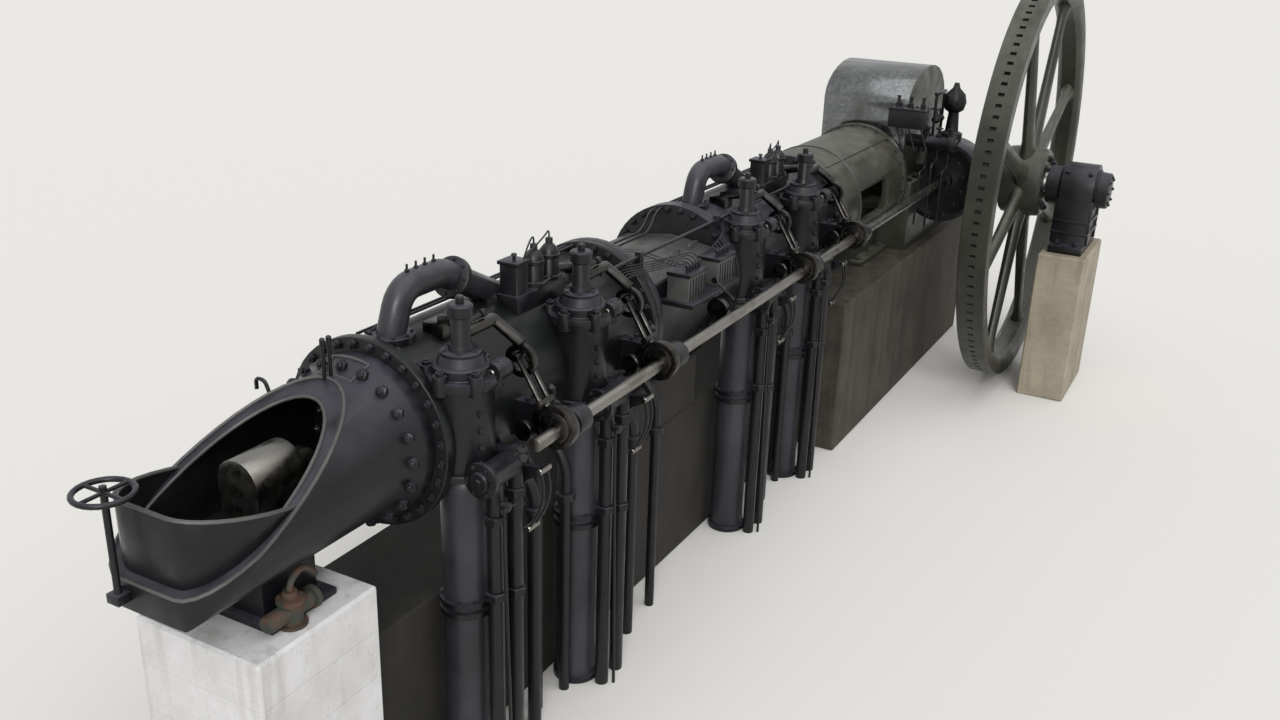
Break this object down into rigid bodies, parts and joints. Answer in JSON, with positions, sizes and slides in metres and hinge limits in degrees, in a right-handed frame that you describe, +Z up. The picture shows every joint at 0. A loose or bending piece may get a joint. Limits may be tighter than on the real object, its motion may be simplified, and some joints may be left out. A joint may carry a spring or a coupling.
{
  "type": "stationary gas engine",
  "caption": "Long horizontal tandem gas engine with a side shaft, a spoked flywheel in a pit, a sheet crank hood and an open scoop-shaped tail guide, on concrete piers.",
  "frame": {"origin": "on the foot of the foundation, under the middle of the crankshaft", "axes": "+X along the engine from its tail to its crankshaft, -Y towards the side shaft and the flywheel, +Z up"},
  "size_m": [16.285, 4.085, 5.645],
  "materials": {
    "concrete": "buff cast concrete",
    "white_concrete": "whitewashed concrete",
    "oily_iron": "old near-black paint under oil",
    "olive_iron": "old olive grey paint under oil",
    "bright_steel": "machined steel under oil",
    "galvanised": "galvanised sheet",
    "plate": "grey steel plate"
  },
  "bodies": {
    "frame": {"tail_pier": "white_concrete", "foundation_strip": "concrete", "distance_pier": "white_concrete", "frame_pier": "concrete", "outboard_pier": "concrete", "tail_guide": "oily_iron", "tail_pan": "oily_iron", "tail_cylinder": "oily_iron", "distance_piece": "oily_iron", "distance_cover_tail": "plate", "distance_cover_crank": "plate", "crank_cylinder": "oily_iron", "main_guide": "olive_iron", "main_frame": "olive_iron", "bearing_cap_near": "olive_iron", "bearing_cap_far": "olive_iron", "crank_hood": "galvanised", "outboard_bearing": "olive_iron", "gear_case": "oily_iron", "shaft_bracket_1": "oily_iron", "shaft_bracket_2": "oily_iron", "shaft_bracket_3": "oily_iron", "shaft_bracket_4": "oily_iron", "valve_chest_1": "oily_iron", "valve_chest_2": "oily_iron", "valve_chest_3": "oily_iron", "valve_chest_4": "oily_iron", "valve_lever_1": "bright_steel", "valve_lever_2": "bright_steel", "valve_lever_3": "bright_steel", "valve_lever_4": "bright_steel", "gas_valve_1": "oily_iron", "gas_valve_2": "oily_iron", "gas_valve_3": "oily_iron", "gas_valve_4": "oily_iron", "tail_handwheel": "oily_iron", "ignition_stand_tail": "oily_iron", "ignition_stand_crank": "oily_iron", "exhaust_column_1": "oily_iron", "exhaust_column_2": "oily_iron", "exhaust_column_3": "oily_iron", "exhaust_column_4": "oily_iron", "intake_arch_tail": "oily_iron", "intake_arch_crank": "oily_iron", "lubricator_shelf": "oily_iron", "lubricator_tail": "plate", "lubricator_crank": "plate"},
    "rotor": {"crankshaft": "bright_steel", "flywheel": "olive_iron"},
    "lay_shaft": {"side_shaft": "bright_steel", "eccentric_1": "bright_steel", "eccentric_2": "bright_steel", "eccentric_3": "bright_steel", "eccentric_4": "bright_steel"},
    "tail_slider": {"tail_crosshead": "bright_steel", "tail_rod": "bright_steel"},
    "rod_1": {"eccentric_rod_1": "oily_iron"},
    "rod_2": {"eccentric_rod_2": "oily_iron"},
    "rod_3": {"eccentric_rod_3": "oily_iron"},
    "rod_4": {"eccentric_rod_4": "oily_iron"}
  },
  "joints": [
    {"name": "crank_turn", "type": "hinge", "parent": "frame", "child": "rotor", "pos_m": [0, -2.08, 2.9], "axis": [0, 1, 0], "continuous": true},
    {"name": "lay_shaft_turn", "type": "hinge", "parent": "frame", "child": "lay_shaft", "pos_m": [-5.67, -1.1, 2.9], "axis": [1, 0, 0], "continuous": true},
    {"name": "tail_slide", "type": "slide", "parent": "frame", "child": "tail_slider", "axis": [1, 0, 0], "range_m": [-0.544, 0.37]},
    {"name": "rod_turn_1", "type": "hinge", "parent": "lay_shaft", "child": "rod_1", "pos_m": [-10.65, -1.1, 2.94], "axis": [1, 0, 0], "continuous": true},
    {"name": "rod_turn_2", "type": "hinge", "parent": "lay_shaft", "child": "rod_2", "pos_m": [-9.1, -1.1, 2.94], "axis": [1, 0, 0], "continuous": true},
    {"name": "rod_turn_3", "type": "hinge", "parent": "lay_shaft", "child": "rod_3", "pos_m": [-5.95, -1.1, 2.94], "axis": [1, 0, 0], "continuous": true},
    {"name": "rod_turn_4", "type": "hinge", "parent": "lay_shaft", "child": "rod_4", "pos_m": [-4.4, -1.1, 2.94], "axis": [1, 0, 0], "continuous": true}
  ],
  "couplings": [
    {"joint": "lay_shaft_turn", "follows": "crank_turn", "ratio": 0.5},
    {"joint": "rod_turn_1", "follows": "crank_turn", "ratio": -0.5},
    {"joint": "rod_turn_2", "follows": "crank_turn", "ratio": -0.5},
    {"joint": "rod_turn_3", "follows": "crank_turn", "ratio": -0.5},
    {"joint": "rod_turn_4", "follows": "crank_turn", "ratio": -0.5}
  ]
}
